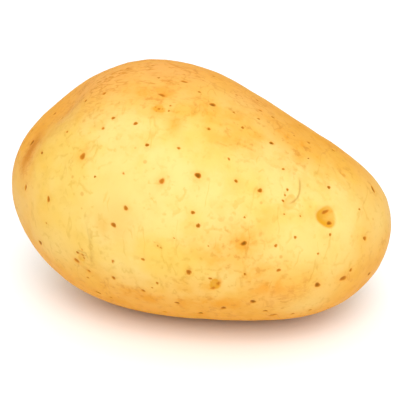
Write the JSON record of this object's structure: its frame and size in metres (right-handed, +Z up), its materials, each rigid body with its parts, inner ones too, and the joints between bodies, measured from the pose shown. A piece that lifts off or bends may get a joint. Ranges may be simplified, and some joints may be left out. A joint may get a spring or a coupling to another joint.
{
  "type": "potato",
  "caption": "Whole raw yellow potato, a blunt oval tuber with a broad stem end and a narrower rose end, lying on a small flattened patch of skin.",
  "frame": {"origin": "on the resting surface, under the middle of the tuber's box", "axes": "+X along the tuber from the stem end to the rose end, +Z up from the resting surface"},
  "size_m": [0.1, 0.071, 0.065],
  "materials": {
    "skin": "thin satin yellow skin with brown lenticels, russet flecks and shallow eyes"
  },
  "bodies": {
    "root": {"potato": "skin"}
  },
  "joints": []
}
